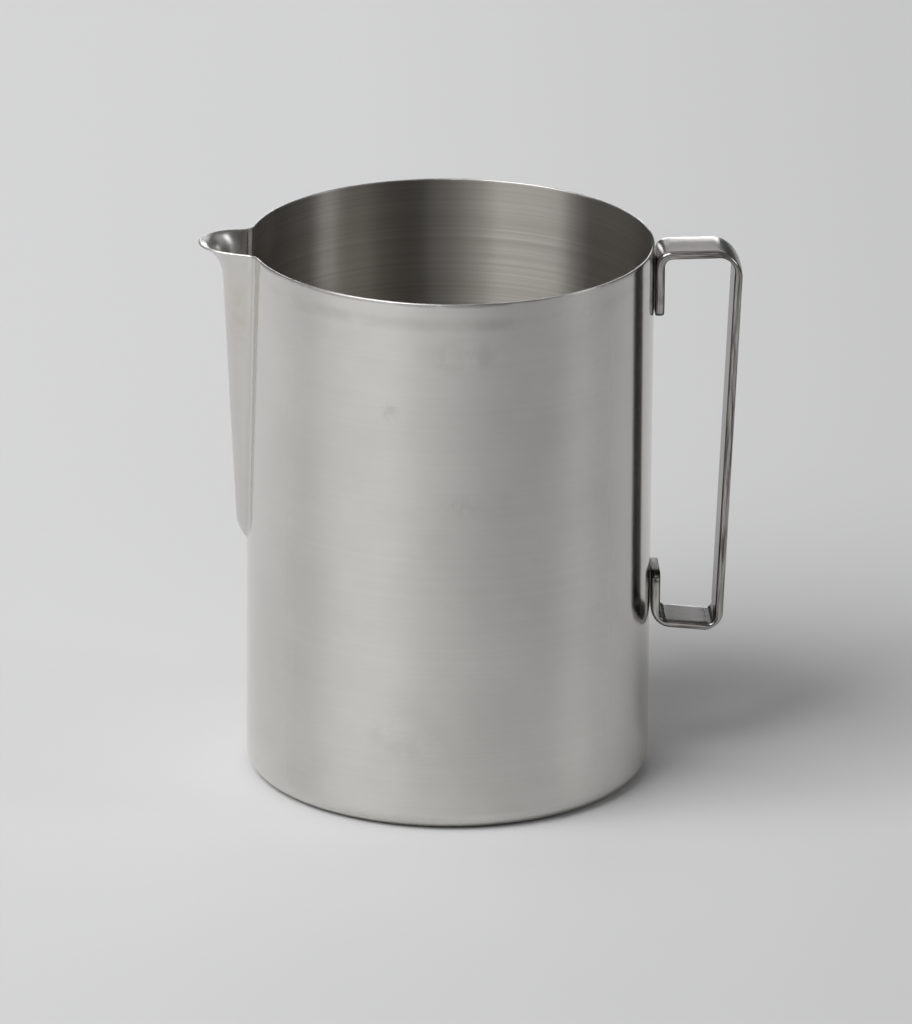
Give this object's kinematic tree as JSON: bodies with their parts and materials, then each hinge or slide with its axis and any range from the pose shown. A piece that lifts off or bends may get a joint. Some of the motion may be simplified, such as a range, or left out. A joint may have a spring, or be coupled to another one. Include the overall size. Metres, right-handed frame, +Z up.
{
  "type": "candle melting pot",
  "caption": "Straight-sided stainless steel pouring pot with a tapered welded spout at the rim and a bent flat-bar handle opposite it.",
  "frame": {"origin": "centre of the base's flat underside, on the surface the pot stands on", "axes": "+Z up along the pot's axis, +X towards the handle, -X towards the spout"},
  "size_m": [0.1665, 0.125, 0.17],
  "materials": {
    "brushed_body": "fine satin brushing round the body",
    "satin_spout": "satin, with a faint warm heat tint",
    "dressed_weld": "ground and polished weld",
    "polished_handle": "tumbled to a soft polish",
    "spot_weld": "bare weld metal"
  },
  "bodies": {
    "root": {"pot_body": "brushed_body", "pouring_spout": "satin_spout", "spout_seam_weld": "dressed_weld", "handle_strap": "polished_handle", "upper_spot_weld_1": "spot_weld", "upper_spot_weld_2": "spot_weld", "lower_spot_weld_1": "spot_weld", "lower_spot_weld_2": "spot_weld"}
  },
  "joints": []
}
